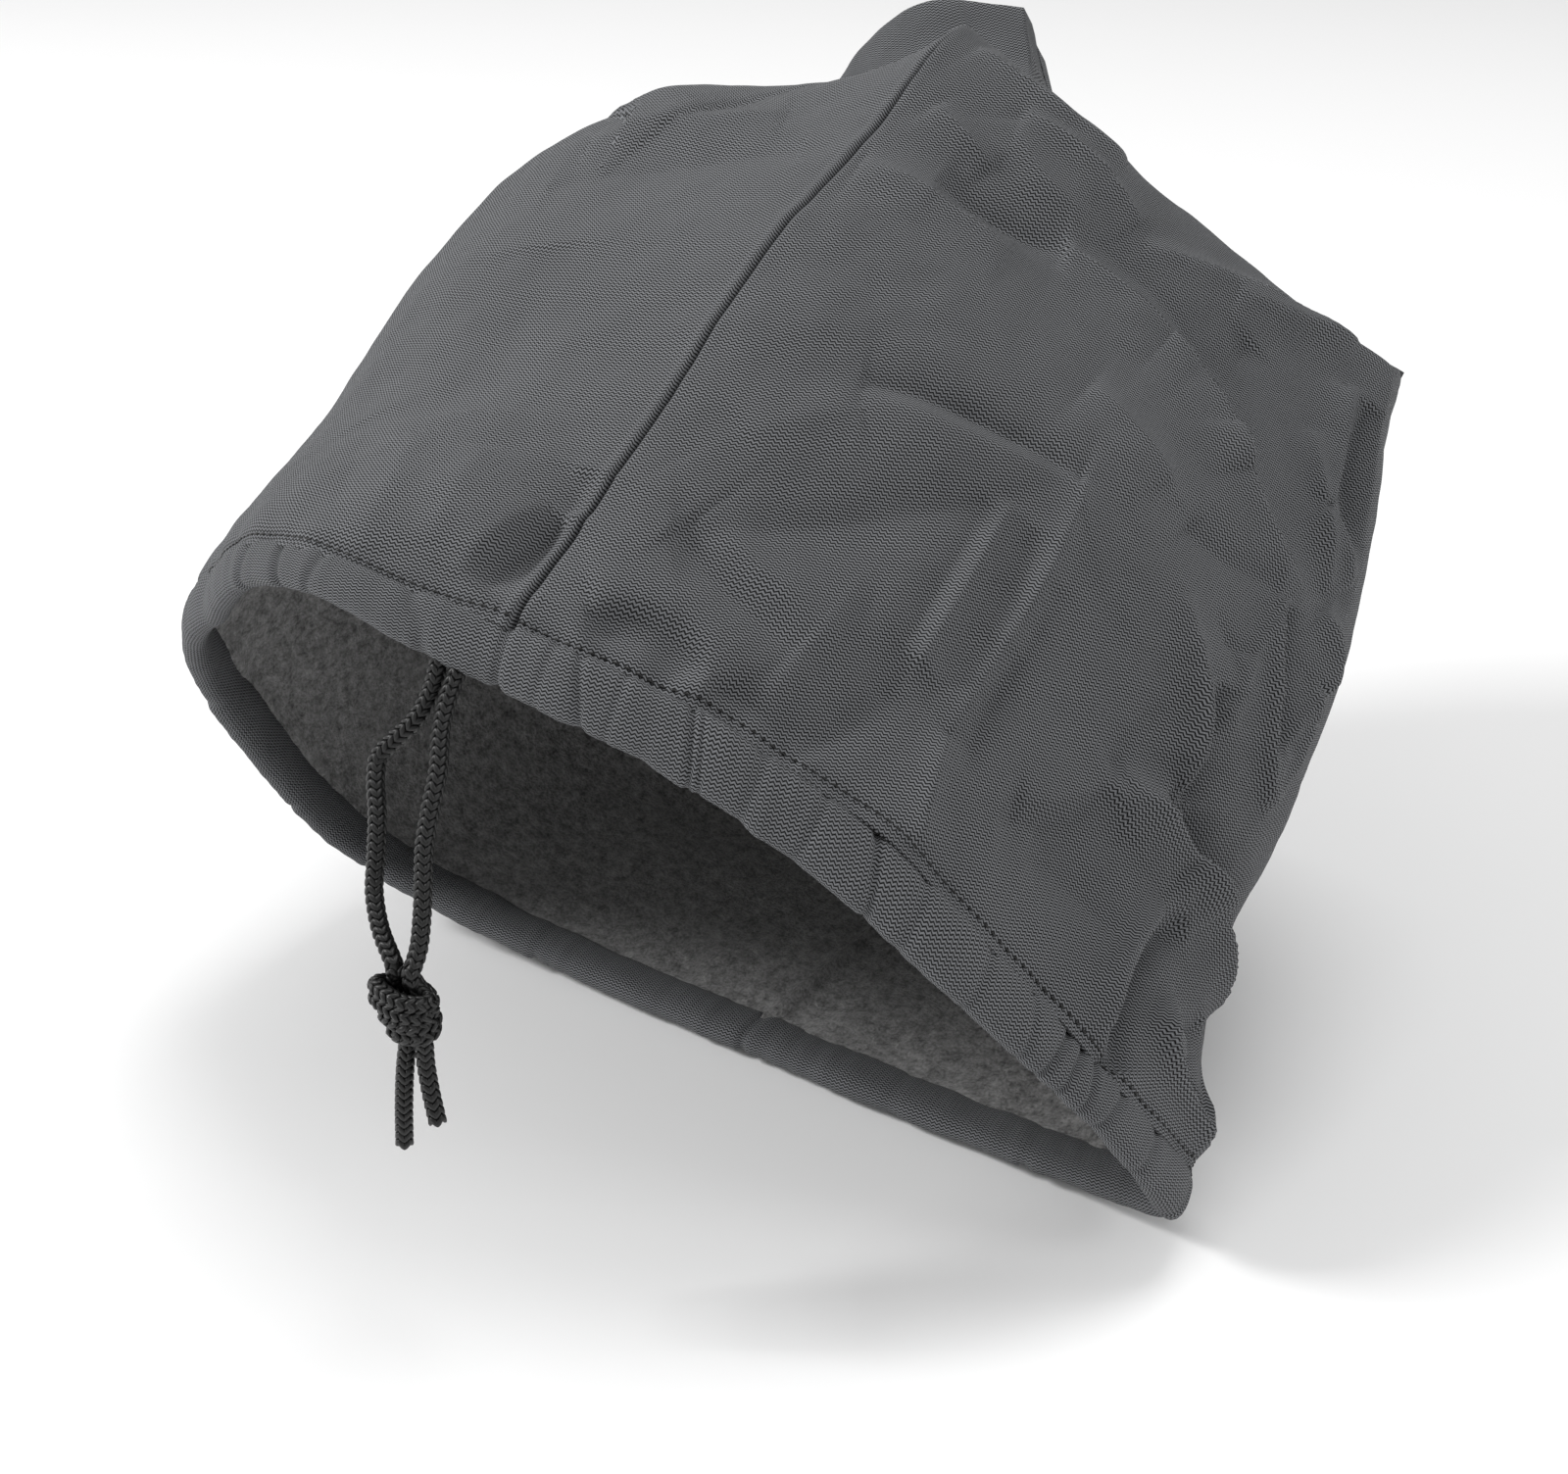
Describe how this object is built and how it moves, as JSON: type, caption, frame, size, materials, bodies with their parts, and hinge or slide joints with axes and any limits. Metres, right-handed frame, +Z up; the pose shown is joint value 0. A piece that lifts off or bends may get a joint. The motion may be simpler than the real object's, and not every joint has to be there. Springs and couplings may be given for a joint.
{
  "type": "motorcycle helmet bag",
  "caption": "Soft black twill drawstring bag with a fleece lining, worn over a rounded form with its mouth forward and down, its cord knotted below the rim.",
  "frame": {"origin": "middle of the inner crown, on the front seam, where the inner layer bears on the form that holds the bag up", "axes": "-Y towards the open front where the cord hangs, +Y to the closed end behind, +Z up, +X to the wearer's left"},
  "size_m": [0.343, 0.3806, 0.3156],
  "materials": {
    "shell_twill": "matt black polyester, fine zigzag twill",
    "fleece": "short dark grey brushed fleece",
    "hem_twill": "the same twill folded into a padded channel",
    "cord_braid": "black braided round cord, soft sheen"
  },
  "bodies": {
    "root": {"shell_left": "shell_twill", "shell_right": "shell_twill", "lining": "fleece", "hem_left": "hem_twill", "hem_right": "hem_twill", "cord_run": "cord_braid", "cord_strand_left": "cord_braid", "cord_strand_right": "cord_braid", "cord_knot": "cord_braid", "cord_tail_left": "cord_braid", "cord_tail_right": "cord_braid"}
  },
  "joints": []
}
